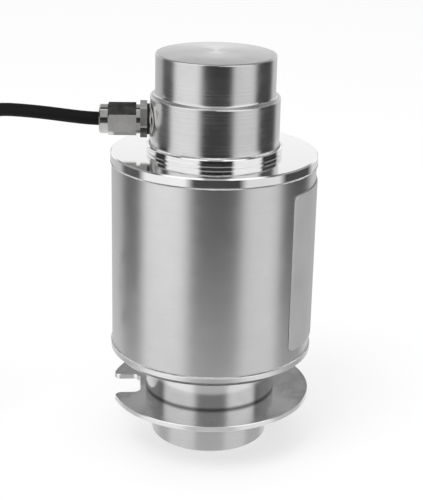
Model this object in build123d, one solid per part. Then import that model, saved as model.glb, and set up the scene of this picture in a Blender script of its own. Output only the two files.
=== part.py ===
from build123d import *
import math
import os

# Column load cell, millimetres, +Z up, origin at the centre of the foot's flat land.
# Azimuths are in degrees from +X, anticlockwise seen from above.

# Load column, from the foot up. Its heights add up to 150, and its radii step in from the covers.
land_radius = 5.2            # flat land at the middle of each crowned end
crown_radius = 220.0         # spherical rocker ends
foot_step = 2.6              # the foot is this much slimmer than the neck, in radius
foot_edge = 0.6
neck_bottom = 19.8
lower_cover_bottom = 35.4
cover_thickness = 3.8
inner_shoulder_height = 2.0
inner_shoulder_extra = 2.2   # how far each inner shoulder stands out past its cover's bore
flange_gap = 4.6             # air between the inner flanges and the tube
flange_thickness = 6.0
waist_step = 6.8             # the waist is this much slimmer than the neck, in radius
flat_depth = 3.0             # how deep the gauge flats cut into the waist
waist_fillet = 8.0
collar_step = 1.2            # the collar is this much slimmer than the neck, in radius
collar_height = 19.9         # from the upper cover to the shoulder
shoulder_round = 0.7
head_height = 16.8           # from the shoulder to the top
head_step = 1.8              # the head is this much slimmer than the collar, in radius
head_fillet = 1.1
head_edge = 0.6

# Housing
cover_radius = 38.0
cover_reach = 13.2           # how far the covers stand out past the neck
cover_edge = 0.5
lower_cover_chamfer = 1.7
hub_wall = 1.2
hub_height = 2.9
hub_edge = 0.35
tube_length = 70.3
tube_step = 0.4              # how far the tube stands back from the covers' rims
tube_wall = 2.0
spigot_depth = 2.5
spigot_wall = 2.2
spigot_clearance = 0.05
diaphragm_web = 1.3
diaphragm_gap = 0.8          # from the inner shoulder out to the thin web

# Anti-rotation disc and what holds it
disc_overhang = 0.2          # how far the disc stands out past the covers
disc_thickness = 2.0
disc_bore_clearance = 0.05
slot_azimuth = 184.8
slot_width = 15.5
slot_clearance = 2.2         # between the slot's end and the neck
slot_corner = 3.0
slot_mouth = 2.5
ring_thickness = 1.75
ring_depth = 1.3             # depth of the retaining ring's groove
ring_width = 3.6             # radial width of the ring opposite its gap
ring_lug = 3.1
ring_hole = 1.0
ring_gap_angle = 20.0
ring_azimuth = 90.0
ring_side_play = 0.05
ring_offset = 0.4            # the ring's outside stands off centre, away from its gap
pin_radius = 1.5
pin_length = 6.0
pin_end_play = 0.2
pin_azimuth = 4.8
pin_step = 1.2               # how far outside the foot's wall the locking pin's axis stands
disc_edge = 0.2

# Cable gland
gland_azimuth = 183.0
gland_drop = 8.5             # how far the gland's axis stands below the shoulder
boss_radius = 6.6
boss_stand = 0.1             # how far the boss stands out of the collar
boss_length = 2.0
boss_edge = 0.4
seal_thickness = 0.9
seal_radius = 5.6
body_hex = 12.0
body_hex_length = 2.5
body_turn = 18.0             # how far its hexagon is turned from corner up
body_neck_length = 1.4
body_neck_radius = 5.3
stem_radius = 4.0
stem_length = 8.0
thread_radius = 4.7
thread_length = 6.6
gland_bore = 2.75
nut_hex = 11.0
nut_turn = -5.0
nut_length = 10.2
nut_collar_length = 3.2
nut_collar_radius = 5.3
nut_chamfer = 0.5
grommet_length = 5.4
grommet_radius = 4.0
grommet_seat = 3.24          # how deep the grommet sits in the threaded sleeve
clamp_thickness = 1.0
clamp_radius = 4.4
running_clearance = 0.05
cable_clearance = 0.25       # round the sheath, in the cap nut and its washer
body_corner = 13.44          # circle that rounds off the corners of the body's hexagon
nut_corner = 12.6            # circle that rounds off the corners of the nut's hexagon

# Cable
cable_radius = 2.5
sheath_end = 0.3             # how far outside the boss's face the sheath ends, in the gland body
cable_straight = 4.1         # length of cable beyond the nut that keeps the gland's line
# Corners of the fall to the floor: x, y, and the height as a share of the gland's height
cable_fall = ((-66.0, 2.0, 1.010), (-84.0, 9.0, 1.002), (-98.0, 15.0, 0.925), (-107.5, 13.5, 0.786),
              (-110.5, 2.0, 0.561), (-112.0, -13.2, 0.357), (-115.8, -23.6, 0.201), (-122.2, -30.0, 0.114),
              (-130.7, -34.2, 0.060))
cable_landing = 35.0         # how far short of the coil's front the cable comes to lie on the floor
core_radius = 0.4
core_pitch = 0.9
core_bend = 1.5
core_share = 0.958           # share of the passage in which the cores lie slanting
passage_radius = 2.1
passage_reach = 2.9          # from the gland's stem in to the passage's upper end
passage_inset = 6.8          # from the flange's rim in to the passage's lower end
passage_drop = 3.0           # how far the passage's lower end stands below the flange

# Terminal board in the cavity
board_drop = 6.3             # how far the board's top stands below the upper flange
board_thickness = 1.6
board_inner_gap = 3.0        # round the waist
board_outer_gap = 1.4        # inside the tube
board_slide = 0.8            # each side of the waist, in the board's mouth
board_hole = 1.2
standoff_inset = 2.5         # from the flange's rim in to the standoffs' axes
standoff_hex = 4.0
standoff_stud_radius = 1.2
standoff_stud_length = 3.6
stud_end_play = 0.4
standoff_offsets = (-90.0, -35.0, 35.0, 90.0)    # from the gland, round the axis
screw_radius = 0.95
screw_length = 4.6
screw_end_play = 0.6
screw_slot = (0.5, 0.5)      # width and depth
screw_head_edge = 0.4
screw_head_radius = 1.9
screw_head_height = 1.3
terminal_radius = 0.6
terminal_height = 2.4
terminal_step = 1.0          # from the standoffs' ring in to the cores' terminals
terminal_pitch = 3.2
terminal_drop = 1.6          # how far the gauge wires' terminals stand below the board
board_corner = 1.5
core_count = 4
wire_radius = 0.3
wire_reach = 6.0             # from the waist out to the gauge wires' terminals
wire_start = 1.0             # length of wire that lies on its tab
wire_rise = 0.75             # share of the way up at which the wire bends out
wire_lift = 3.6              # distance from the gauge flat at the wire's middle bend
wire_bend = 1.2
resistor_size = (3.2, 1.6, 0.9)
resistor_inset = 3.2         # from the board's rim in to the resistors
resistor_step = 12.0
resistor_count = 5

# Strain gauges, on two opposite flats
gauge_offsets = (-90.0, 90.0)   # from the gland, round the axis
gauge_size = (5.0, 8.0, 0.3)
gauge_spacing = 9.4
gauge_rest = 0.33            # share of the flat's spare length that stays free below the gauges
tab_size = (1.8, 2.6, 0.4)
tab_pitch = 3.4
tab_gap = 2.0
coating_margin = 1.6
coating_thickness = 1.3
coating_edge = 0.6

# Nameplate, bare
plate_thickness = 0.5
plate_azimuth = 5.0
plate_width = 60.0
plate_lower_margin = 4.8
plate_upper_margin = 6.0
plate_corner = 2.0
plate_glue = 0.1

# Cable coil on the floor, outside the view
turns_across = 6
turns_high = 6
coil_centre = (-176.0, 18.0)
coil_mid_radius = 42.3
tie_thickness = 1.2
tie_play = 0.1
tie_width = 3.6
tie_azimuths = (40.0, 220.0)
tie_head = (4.0, 5.0, 6.0)   # out from the band, along the coil, high
tie_head_edge = 0.6
tie_head_place = 0.6         # share of the coil's height
sheath_sleeve_length = 14.0
sheath_sleeve_lap = 7.0      # how much of the sleeve lies on the sheath
sheath_sleeve_wall = 0.6
bare_core_length = 16.0
bare_core_start = 3.0
bare_core_spread = 2.8
bare_core_bend = 2.5
coil_stub = 24.0             # straight length of cable that leaves the coil's outer turn
stub_overlap = 2.0
stub_inset = 0.3             # the stub stands this far inside the coil's outline
coil_edge = 1.2
top_turn_start = 330.0       # the last stretch lies on top of the coil and runs clockwise
top_turn_sweep = 60.0

cut_extra = 2.0              # how far a cutting shape stands past what it cuts
match_tolerance = 0.01

# Heights
lower_cover_top = lower_cover_bottom + cover_thickness
upper_cover_bottom = lower_cover_top + tube_length
upper_cover_top = upper_cover_bottom + cover_thickness
shoulder_height = upper_cover_top + collar_height
total_height = shoulder_height + head_height
gland_height = shoulder_height - gland_drop
hub_top = upper_cover_top + hub_height
plate_bottom = lower_cover_top + plate_lower_margin
plate_height = upper_cover_bottom - plate_upper_margin - plate_bottom

# Radii
tube_radius = cover_radius - tube_step
tube_bore = tube_radius - tube_wall
neck_radius = cover_radius - cover_reach
foot_radius = neck_radius - foot_step
collar_radius = neck_radius - collar_step
head_radius = collar_radius - head_step
hub_radius = collar_radius + hub_wall
flange_radius = tube_bore - flange_gap
waist_radius = neck_radius - waist_step
waist_flat = waist_radius - flat_depth
disc_radius = cover_radius + disc_overhang
slot_bottom = neck_radius + slot_clearance
pin_offset = foot_radius + pin_step
board_inner = waist_radius + board_inner_gap
board_outer = tube_bore - board_outer_gap
board_opening = 2 * (waist_radius + board_slide)
standoff_ring = flange_radius - standoff_inset
terminal_ring = standoff_ring - terminal_step
wire_ring = waist_radius + wire_reach
resistor_ring = board_outer - resistor_inset

# Stations along the gland, from the axis out
boss_face = collar_radius + boss_stand
boss_seat = boss_face - boss_length
stem_end = boss_face - stem_length
passage_top = stem_end - passage_reach
passage_foot = flange_radius - passage_inset
cable_start = boss_face + sheath_end

cable_diameter = 2 * cable_radius
disc_bottom = neck_bottom - disc_thickness
upper_flange_top = upper_cover_bottom - inner_shoulder_height
upper_flange_bottom = upper_flange_top - flange_thickness
lower_flange_bottom = lower_cover_top + inner_shoulder_height
lower_flange_top = lower_flange_bottom + flange_thickness
upper_shoulder_radius = collar_radius + inner_shoulder_extra
lower_shoulder_radius = neck_radius + inner_shoulder_extra
board_top = upper_flange_bottom - board_drop
board_bottom = board_top - board_thickness
passage_foot_height = upper_flange_bottom - passage_drop
standoff_azimuths = [gland_azimuth + offset for offset in standoff_offsets]
gauge_azimuths = [gland_azimuth + offset for offset in gauge_offsets]
hex_start = boss_face + seal_thickness
neck_start = hex_start + body_hex_length
thread_start = neck_start + body_neck_length
nut_end = thread_start + nut_length + nut_collar_length
cable_first_run = nut_end + cable_straight
coil_bottom = tie_thickness + tie_play
coil_half = turns_across * cable_radius
coil_height = turns_high * cable_diameter
stub_radius = coil_mid_radius + coil_half - cable_radius - stub_inset
stub_height = coil_bottom + cable_radius + stub_inset
tail_height = coil_bottom + coil_height + cable_radius + sheath_sleeve_wall
top_turn_end = top_turn_start - top_turn_sweep
grommet_start = thread_start + thread_length - grommet_seat
grommet_end = grommet_start + grommet_length
flat_bottom = lower_flange_top + waist_fillet
flat_top = upper_flange_bottom - waist_fillet
coating_span = gauge_spacing + gauge_size[1] + 2 * coating_margin
tab_rise = (gauge_spacing + gauge_size[1] + tab_size[1]) / 2 + tab_gap
gauge_stack = coating_span / 2 + tab_rise + tab_size[1] / 2
gauge_middle = flat_bottom + gauge_rest * (flat_top - flat_bottom - gauge_stack) + coating_span / 2
tab_height = gauge_middle + tab_rise


def crown_height(radius):
    """Rise of the crowned end at a distance from the axis."""
    land_drop = crown_radius - math.sqrt(crown_radius ** 2 - land_radius ** 2)
    return crown_radius - math.sqrt(crown_radius ** 2 - radius ** 2) - land_drop


def polar(radius, azimuth, z=0.0):
    angle = math.radians(azimuth)
    return Vector(radius * math.cos(angle), radius * math.sin(angle), z)


def revolved(wire):
    """A turned solid from a closed half section, drawn as radius and height."""
    return revolve(Plane.XZ * make_face(wire), Axis.Z)


def cylinder_between(radius, z_low, z_high):
    return extrude(Plane.XY.offset(z_low) * Circle(radius), z_high - z_low)


def gland_plane(distance):
    """A plane across the gland's axis, facing out along the cable."""
    outward = polar(1.0, gland_azimuth)
    return Plane(origin=polar(distance, gland_azimuth, gland_height), x_dir=(0, 0, 1), z_dir=outward)


def gland_round(radius, start, end):
    return extrude(gland_plane(start) * Circle(radius), end - start)


def gland_hex(across_flats, turn, start, end):
    outline = RegularPolygon(across_flats / 2, 6, major_radius=False, rotation=turn)
    return extrude(gland_plane(start) * outline, end - start)


def column_outline():
    """Half section of the column, round parts only, from the foot's land to the head's land."""
    foot_rim = foot_radius - foot_edge
    head_rim = head_radius - head_edge
    head_face = total_height - crown_height(head_rim)
    foot_face = crown_height(foot_rim)
    fillet_out = waist_radius + waist_fillet
    mid_foot = (land_radius + foot_rim) / 2
    mid_head = (land_radius + head_rim) / 2
    groove_top = disc_bottom
    groove_bottom = disc_bottom - ring_thickness - ring_side_play
    groove_radius = foot_radius - ring_depth

    def at(r, z):
        return Vector(r, z)

    low = [at(foot_rim, foot_face), at(foot_radius, foot_face + foot_edge), at(foot_radius, groove_bottom),
           at(groove_radius, groove_bottom), at(groove_radius, groove_top), at(foot_radius, groove_top),
           at(foot_radius, neck_bottom), at(neck_radius, neck_bottom), at(neck_radius, lower_cover_top),
           at(lower_shoulder_radius, lower_cover_top), at(lower_shoulder_radius, lower_flange_bottom),
           at(flange_radius, lower_flange_bottom), at(flange_radius, lower_flange_top),
           at(fillet_out, lower_flange_top)]
    high = [at(fillet_out, upper_flange_bottom), at(flange_radius, upper_flange_bottom),
            at(flange_radius, upper_flange_top), at(upper_shoulder_radius, upper_flange_top),
            at(upper_shoulder_radius, upper_cover_bottom), at(collar_radius, upper_cover_bottom),
            at(collar_radius, shoulder_height)]
    edges = [Line(at(0, 0), at(land_radius, 0)),
             ThreePointArc(at(land_radius, 0), at(mid_foot, crown_height(mid_foot)), low[0])]
    edges += [Line(a, b) for a, b in zip(low, low[1:])]
    edges.append(RadiusArc(low[-1], at(waist_radius, lower_flange_top + waist_fillet), waist_fillet))
    edges.append(Line(at(waist_radius, lower_flange_top + waist_fillet),
                      at(waist_radius, upper_flange_bottom - waist_fillet)))
    edges.append(RadiusArc(at(waist_radius, upper_flange_bottom - waist_fillet), high[0], waist_fillet))
    edges += [Line(a, b) for a, b in zip(high, high[1:])]
    round_end = at(collar_radius - shoulder_round, shoulder_height + shoulder_round)
    head_foot = at(head_radius, shoulder_height + shoulder_round + head_fillet)
    head_top = at(head_radius, head_face - head_edge)
    edges.append(RadiusArc(high[-1], round_end, -shoulder_round))
    edges.append(RadiusArc(round_end, head_foot, head_fillet))
    edges.append(Line(head_foot, head_top))
    edges.append(RadiusArc(head_top, at(head_rim, head_face), -head_edge))
    edges.append(ThreePointArc(at(head_rim, head_face),
                               at(mid_head, total_height - crown_height(mid_head)),
                               at(land_radius, total_height)))
    edges.append(Line(at(land_radius, total_height), at(0, total_height)))
    edges.append(Line(at(0, total_height), at(0, 0)))
    return Wire(edges)


def load_column():
    """Rocker column turned from one bar, with gauge flats, gland seat, wire passage and pin hole."""
    column = revolved(column_outline())
    side = waist_radius - waist_flat + cut_extra
    for step in range(4):
        azimuth = gauge_azimuths[0] + 90 * step
        cutter = Box(side, 2 * waist_radius, flat_top - flat_bottom,
                     align=(Align.MIN, Align.CENTER, Align.MIN))
        column -= Rot(0, 0, azimuth) * Pos(waist_flat, 0, flat_bottom) * cutter
    column -= gland_round(boss_radius, boss_seat, collar_radius + cut_extra)
    column -= gland_round(stem_radius, stem_end, boss_seat + cut_extra)
    column -= gland_round(gland_bore, passage_top - passage_radius, stem_end)
    top = polar(passage_top, gland_azimuth, gland_height)
    foot = polar(passage_foot, gland_azimuth, passage_foot_height)
    column -= extrude(Plane(origin=top, z_dir=foot - top) * Circle(passage_radius), (foot - top).length)
    for azimuth in standoff_azimuths:
        hole = cylinder_between(standoff_stud_radius, upper_flange_bottom,
                                upper_flange_bottom + standoff_stud_length + stud_end_play)
        column -= Pos(*polar(standoff_ring, azimuth)) * hole
    pin_top = disc_bottom + pin_length
    column -= Pos(*polar(pin_offset, pin_azimuth)) * cylinder_between(pin_radius, disc_bottom, pin_top)
    return column


def upper_cover():
    """Annular cover with a raised hub, a spigot inside the tube and a thin diaphragm web."""
    web_bottom = upper_cover_top - diaphragm_web
    spigot_out = tube_bore - spigot_clearance
    spigot_in = spigot_out - spigot_wall
    seat_out = upper_shoulder_radius + diaphragm_gap
    points = [(collar_radius, upper_cover_bottom), (seat_out, upper_cover_bottom), (seat_out, web_bottom),
              (spigot_in, web_bottom), (spigot_in, upper_cover_bottom - spigot_depth),
              (spigot_out, upper_cover_bottom - spigot_depth), (spigot_out, upper_cover_bottom),
              (cover_radius - cover_edge, upper_cover_bottom),
              (cover_radius, upper_cover_bottom + cover_edge),
              (cover_radius, upper_cover_top - cover_edge),
              (cover_radius - cover_edge, upper_cover_top),
              (hub_radius, upper_cover_top), (hub_radius, hub_top - hub_edge),
              (hub_radius - hub_edge, hub_top), (collar_radius, hub_top)]
    return revolved(Wire.make_polygon([Vector(r, z) for r, z in points]))


def lower_cover():
    """Annular cover under the tube, with a wide chamfer below, a spigot and a thin diaphragm web."""
    web_top = lower_cover_bottom + diaphragm_web
    spigot_out = tube_bore - spigot_clearance
    spigot_in = spigot_out - spigot_wall
    seat_out = lower_shoulder_radius + diaphragm_gap
    points = [(neck_radius, lower_cover_bottom), (cover_radius - lower_cover_chamfer, lower_cover_bottom),
              (cover_radius, lower_cover_bottom + lower_cover_chamfer),
              (cover_radius, lower_cover_top - cover_edge),
              (cover_radius - cover_edge, lower_cover_top), (spigot_out, lower_cover_top),
              (spigot_out, lower_cover_top + spigot_depth), (spigot_in, lower_cover_top + spigot_depth),
              (spigot_in, web_top), (seat_out, web_top), (seat_out, lower_cover_top),
              (neck_radius, lower_cover_top)]
    return revolved(Wire.make_polygon([Vector(r, z) for r, z in points]))


def housing_tube():
    length = upper_cover_bottom - lower_cover_top
    ring = Circle(tube_radius) - Circle(tube_bore)
    return extrude(Plane.XY.offset(lower_cover_top) * ring, length)


def anti_rotation_disc():
    """Sheet disc with a radial U slot, rounded at its inner corners and at its mouth."""
    slot_length = disc_radius - slot_bottom + cut_extra
    slot = Pos(slot_bottom + slot_length / 2, 0) * Rectangle(slot_length, slot_width)
    slot = fillet(slot.vertices().sort_by(Axis.X)[:2], slot_corner)
    face = Circle(disc_radius) - Circle(foot_radius + disc_bore_clearance) - slot
    mouth_radius = math.hypot(math.sqrt(disc_radius ** 2 - (slot_width / 2) ** 2), slot_width / 2)
    mouth = [v for v in face.vertices()
             if abs(abs(v.Y) - slot_width / 2) < match_tolerance
             and abs(math.hypot(v.X, v.Y) - mouth_radius) < match_tolerance]
    face = fillet(mouth, slot_mouth)
    disc = extrude(Plane.XY.offset(disc_bottom) * Rot(0, 0, slot_azimuth) * face, disc_thickness)
    top_and_bottom = disc.edges().filter_by(GeomType.CIRCLE).filter_by(
        lambda edge: abs(edge.radius - disc_radius) < match_tolerance)
    disc = chamfer(top_and_bottom, disc_edge)
    pin = cylinder_between(pin_radius, disc_bottom, neck_bottom)
    return disc - Pos(*polar(pin_offset, pin_azimuth)) * pin


def retaining_ring():
    """External retaining ring under the disc, with two lugs and plier holes."""
    inner = foot_radius - ring_depth
    outer = Pos(-ring_offset, 0) * Circle(inner + ring_width)
    face = outer - Circle(inner)
    gap_corners = [polar(2 * inner, sign * ring_gap_angle / 2) for sign in (1, -1)]
    face -= Polygon((0, 0), *[(corner.X, corner.Y) for corner in gap_corners], align=None)
    lug_angle = ring_gap_angle / 2 + math.degrees(ring_lug / inner)
    for sign in (1, -1):
        centre = polar(inner + ring_lug, sign * lug_angle)
        lug = Pos(centre.X, centre.Y) * Circle(ring_lug)
        face += lug - Circle(inner)
    for sign in (1, -1):
        centre = polar(inner + ring_lug, sign * lug_angle)
        face -= Pos(centre.X, centre.Y) * Circle(ring_hole)
    ring_plane = Plane.XY.offset(disc_bottom - ring_thickness)
    return extrude(ring_plane * Rot(0, 0, ring_azimuth) * face, ring_thickness)


def locking_pin():
    """Dowel pin between the disc and the neck's shoulder, so that the disc can't turn."""
    pin = cylinder_between(pin_radius, disc_bottom + pin_end_play, disc_bottom + pin_length - pin_end_play)
    return Pos(*polar(pin_offset, pin_azimuth)) * pin


def gland_boss():
    """Welded ring that gives the gland a flat seat on the round collar."""
    ring = gland_round(boss_radius, boss_seat, boss_face)
    ring = chamfer(ring.edges().group_by(Axis(ring.center(), polar(1, gland_azimuth)))[-1], boss_edge)
    return ring - gland_round(stem_radius, boss_seat, boss_face)


def gland_seal_ring():
    return gland_round(seal_radius, boss_face, hex_start) - gland_round(stem_radius, boss_face, hex_start)


def gland_body():
    """Stem into the collar, hexagon, round neck and threaded sleeve for the cap nut."""
    body = gland_round(stem_radius, stem_end, hex_start)
    hexagon = gland_hex(body_hex, body_turn, hex_start, neck_start)
    body += hexagon & gland_round(body_corner / 2, hex_start, neck_start)
    body += gland_round(body_neck_radius, neck_start, thread_start)
    body += gland_round(thread_radius, thread_start, thread_start + thread_length)
    body -= gland_round(gland_bore, stem_end, thread_start + thread_length)
    return body - gland_round(grommet_radius, grommet_start, thread_start + thread_length)


def gland_grommet():
    """Rubber sleeve that the cap nut squeezes on the cable."""
    sleeve = gland_round(grommet_radius, grommet_start, grommet_end)
    return sleeve - gland_round(cable_radius, grommet_start, grommet_end)


def gland_clamp_washer():
    end = grommet_end + clamp_thickness
    washer = gland_round(clamp_radius, grommet_end, end)
    return washer - gland_round(cable_radius + cable_clearance, grommet_end, end)


def gland_cap_nut():
    """Cap nut with a chamfered hexagon and a round collar at the cable's end."""
    hex_end = thread_start + nut_length
    outward = Axis((0, 0, 0), polar(1, gland_azimuth))
    blank = gland_round(nut_corner / 2, thread_start, hex_end)
    blank = chamfer(blank.edges().filter_by(GeomType.CIRCLE).sort_by(outward)[-1], nut_chamfer)
    nut = gland_hex(nut_hex, nut_turn, thread_start, hex_end) & blank
    collar = gland_round(nut_collar_radius, hex_end, nut_end)
    nut += chamfer(collar.edges().filter_by(GeomType.CIRCLE).sort_by(outward)[-1], nut_chamfer)
    inside_end = grommet_end + clamp_thickness
    nut -= gland_round(thread_radius + running_clearance, thread_start, inside_end)
    return nut - gland_round(cable_radius + cable_clearance, inside_end, nut_end)


def rounded_path(points):
    """Straight runs joined by the largest arcs that their runs allow."""
    vectors = [Vector(*p) for p in points]
    radii = []
    for a, b, c in zip(vectors, vectors[1:], vectors[2:]):
        turn = (b - a).get_angle(c - b)
        shorter = min((b - a).length, (c - b).length)
        radii.append(0.45 * shorter / math.tan(math.radians(turn) / 2))
    return FilletPolyline(*vectors, radius=radii), radii


def tube_along(path, radius):
    start = path @ 0
    return sweep(Plane(origin=start, z_dir=path % 0) * Circle(radius), path)


def cable_points():
    """Route of the sheath: out of the gland, over and down to the floor, into the coil's outer turn."""
    out = [tuple(polar(r, gland_azimuth, gland_height)) for r in (cable_start, cable_first_run)]
    entry_y = coil_centre[1] - stub_radius
    falling = [(x, y, share * gland_height) for x, y, share in cable_fall]
    landing = [(coil_centre[0] + reach, entry_y, stub_height) for reach in (cable_landing, coil_stub)]
    return out + falling + landing


def cable():
    path, radii = rounded_path(cable_points())
    tube = tube_along(path, cable_radius)
    section = math.pi * cable_radius ** 2
    print("cable radii", [round(r, 1) for r in radii], "length", round(path.length, 1),
          "volume share", round(tube.volume / (section * path.length), 5))
    return tube


def cable_coil():
    """Outer shape of the wound turns, with the stub that the free stretch meets and the last turn on top."""
    centre = Pos(coil_centre[0], coil_centre[1], 0)
    section = Pos(coil_mid_radius, coil_bottom + coil_height / 2) * Rectangle(2 * coil_half, coil_height)
    section = fillet(section.vertices(), coil_edge)
    ring = centre * revolve(Plane.XZ * section, Axis.Z)
    stub_start = (coil_centre[0] + coil_stub, coil_centre[1] - stub_radius, stub_height)
    stub = Plane(origin=stub_start, z_dir=(-1, 0, 0)) * Circle(cable_radius)
    return ring + extrude(stub, coil_stub + stub_overlap)


def coil_tie_band():
    inner = Rectangle(2 * (coil_half + tie_play), coil_height + 2 * tie_play)
    inner = fillet(inner.vertices(), coil_edge)
    outer = offset(inner, tie_thickness)
    band = extrude(Plane.XZ * (outer - inner), tie_width / 2, both=True)
    band = Pos(coil_mid_radius, 0, coil_bottom + coil_height / 2) * band
    head_x = coil_mid_radius + coil_half + tie_play + tie_thickness
    head_height = coil_bottom + coil_height * tie_head_place
    head = Pos(head_x, 0, head_height) * Box(*tie_head, align=(Align.MIN, Align.CENTER, Align.CENTER))
    return band + fillet(head.edges(), tie_head_edge)


def cable_ties():
    """Two ties round the coil, each a band with its ratchet head on the outside."""
    band = coil_tie_band()
    centre = Pos(coil_centre[0], coil_centre[1], 0)
    return Compound(children=[centre * Rot(0, 0, azimuth) * band for azimuth in tie_azimuths])


def end_point(along, side=0.0):
    """A point beyond the last turn's end, along its tangent on top of the coil."""
    centre = Vector(coil_centre[0], coil_centre[1], tail_height)
    return centre + polar(coil_mid_radius + side, top_turn_end) + polar(along, top_turn_end - 90)


def top_turn_path(start, sweep_angle):
    arc = CenterArc((coil_centre[0], coil_centre[1]), coil_mid_radius, start, -sweep_angle)
    return Pos(0, 0, tail_height) * arc


def cable_tail():
    """The last stretch of sheath, lying on top of the coil."""
    return tube_along(top_turn_path(top_turn_start, top_turn_sweep), cable_radius)


def cable_end_sleeve():
    """Shrunk sleeve over the end of the sheath, closed on the cores beyond it."""
    outer = cable_radius + sheath_sleeve_wall
    direction = polar(1.0, top_turn_end - 90)
    beyond = extrude(Plane(origin=end_point(0), z_dir=direction) * Circle(outer),
                     sheath_sleeve_length - sheath_sleeve_lap)
    nose = beyond.edges().filter_by(GeomType.CIRCLE).sort_by(Axis(end_point(0), direction))[-1]
    beyond = fillet(nose, sheath_sleeve_wall)
    lap_angle = math.degrees(sheath_sleeve_lap / coil_mid_radius)
    path = top_turn_path(top_turn_end + lap_angle, lap_angle)
    return beyond + (tube_along(path, outer) - tube_along(path, cable_radius))


def bare_core_ends():
    """Four cores that fan out of the sleeve, ready for a junction box."""
    cores = []
    sleeve_end = sheath_sleeve_length - sheath_sleeve_lap
    for index in range(core_count):
        place = index - (core_count - 1) / 2
        side = place * core_pitch
        path = FilletPolyline(end_point(sleeve_end, side), end_point(sleeve_end + bare_core_start, side),
                              end_point(sleeve_end + bare_core_length, side + place * bare_core_spread),
                              radius=bare_core_bend)
        cores.append(tube_along(path, core_radius))
    return Compound(children=cores)


def terminal_board():
    """Horseshoe board that slides round the waist, with holes for its screws."""
    face = Circle(board_outer) - Circle(board_inner)
    opening = Pos(board_outer, 0) * Rectangle(2 * board_outer, board_opening)
    face -= opening
    face = fillet(face.vertices(), board_corner)
    board = extrude(Plane.XY.offset(board_bottom) * Rot(0, 0, gland_azimuth + 180) * face, board_thickness)
    for azimuth in standoff_azimuths:
        board -= Pos(*polar(standoff_ring, azimuth)) * cylinder_between(board_hole, board_bottom, board_top)
    return board


def board_standoffs():
    posts = []
    for azimuth in standoff_azimuths:
        place = Pos(*polar(standoff_ring, azimuth)) * Rot(0, 0, azimuth)
        outline = RegularPolygon(standoff_hex / 2, 6, major_radius=False)
        post = extrude(Plane.XY.offset(board_top) * outline, upper_flange_bottom - board_top)
        stud_top = upper_flange_bottom + standoff_stud_length
        post += cylinder_between(standoff_stud_radius, upper_flange_bottom, stud_top)
        post -= cylinder_between(screw_radius, board_top, board_top + screw_length)
        posts.append(place * post)
    return Compound(children=posts)


def board_screws():
    screws = []
    for azimuth in standoff_azimuths:
        head = cylinder_between(screw_head_radius, board_bottom - screw_head_height, board_bottom)
        head = fillet(head.edges().group_by(Axis.Z)[0], screw_head_edge)
        shank = cylinder_between(screw_radius, board_bottom, board_top + screw_length - screw_end_play)
        slot = Box(2 * screw_head_radius + cut_extra, screw_slot[0], 2 * screw_slot[1])
        slot = Pos(0, 0, board_bottom - screw_head_height) * slot
        screws.append(Pos(*polar(standoff_ring, azimuth)) * Rot(0, 0, azimuth) * (head + shank - slot))
    return Compound(children=screws)


def core_terminal_place(index):
    """Centre of a cable core's terminal, in a row across the gland's plane."""
    side = (index - (core_count - 1) / 2) * terminal_pitch
    return polar(terminal_ring, gland_azimuth) + polar(side, gland_azimuth + 90)


def gauge_wire_places():
    """Azimuths of the gauge wires: one for each tab of each gauged flat."""
    places = []
    for azimuth in gauge_azimuths:
        for tab in (-1, 0, 1):
            places.append((azimuth, tab * tab_pitch))
    return places


def board_terminals():
    """Solder pins on the board: a row for the cable's cores and one for each gauge wire."""
    pins = []
    for index in range(core_count):
        place = core_terminal_place(index)
        pin = cylinder_between(terminal_radius, board_top, board_top + terminal_height)
        pins.append(Pos(place.X, place.Y) * pin)
    for azimuth, side in gauge_wire_places():
        place = polar(wire_ring, azimuth) + polar(side, azimuth + 90)
        pin = cylinder_between(terminal_radius, board_bottom - terminal_drop, board_bottom)
        pins.append(Pos(place.X, place.Y) * pin)
    return Compound(children=pins)


def trim_resistors():
    """Small trimming resistors in an arc under the board."""
    blocks = []
    for index in range(resistor_count):
        azimuth = gland_azimuth + (index - (resistor_count - 1) / 2) * resistor_step
        block = Box(*resistor_size, align=(Align.CENTER, Align.CENTER, Align.MAX))
        blocks.append(Pos(*polar(resistor_ring, azimuth, board_bottom)) * Rot(0, 0, azimuth + 90) * block)
    return Compound(children=blocks)


def flat_box(azimuth, side, z, size):
    """A thin block lying on a gauge flat, its face outward."""
    width, height, depth = size
    block = Box(depth, width, height, align=(Align.MIN, Align.CENTER, Align.CENTER))
    return Rot(0, 0, azimuth) * Pos(waist_flat, side, z) * block


def gauge_places():
    return [(azimuth, gauge_middle + sign * gauge_spacing / 2)
            for azimuth in gauge_azimuths for sign in (-1, 1)]


def strain_gauges():
    return Compound(children=[flat_box(azimuth, 0, z, gauge_size) for azimuth, z in gauge_places()])


def gauge_tabs():
    return Compound(children=[flat_box(azimuth, side, tab_height, tab_size)
                              for azimuth, side in gauge_wire_places()])


def gauge_coatings():
    """Rubbery coat over each gauged flat, hollow where the two gauges lie."""
    coats = []
    size = (gauge_size[0] + 2 * coating_margin, coating_span, coating_thickness)
    for azimuth in gauge_azimuths:
        coat = flat_box(azimuth, 0, gauge_middle, size)
        outward = Axis((0, 0, 0), polar(1, azimuth))
        coat = fillet(coat.edges().group_by(outward)[-1], coating_edge)
        for sign in (-1, 1):
            coat -= flat_box(azimuth, 0, gauge_middle + sign * gauge_spacing / 2, gauge_size)
        coats.append(coat)
    return Compound(children=coats)


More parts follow.
